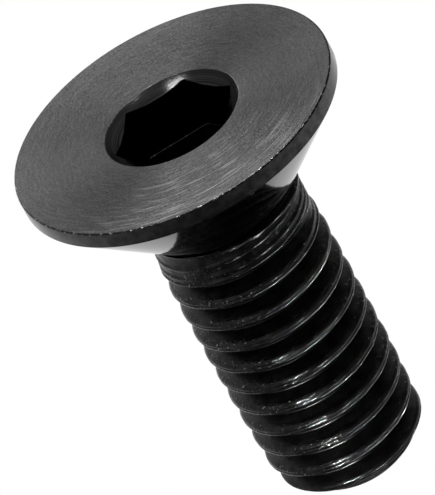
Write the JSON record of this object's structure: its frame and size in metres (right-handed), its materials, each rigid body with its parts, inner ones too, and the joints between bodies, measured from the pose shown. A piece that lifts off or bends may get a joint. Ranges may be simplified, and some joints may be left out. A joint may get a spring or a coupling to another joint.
{
  "type": "countersunk hex socket screw",
  "caption": "Flat-head countersunk screw with a hex key socket in its face and a right-hand metric thread up to a short neck, in black oxide steel.",
  "frame": {"origin": "centre of the head's flat face, on the surface that the screw stands on", "axes": "+Z along the screw's axis from the head face to the tip, +X through a corner of the hex socket"},
  "size_m": [0.012, 0.012, 0.016],
  "materials": {
    "black_oxide_steel": "black oxide, lightly oiled, with a fine turned face"
  },
  "bodies": {
    "root": {"screw": "black_oxide_steel"}
  },
  "joints": []
}
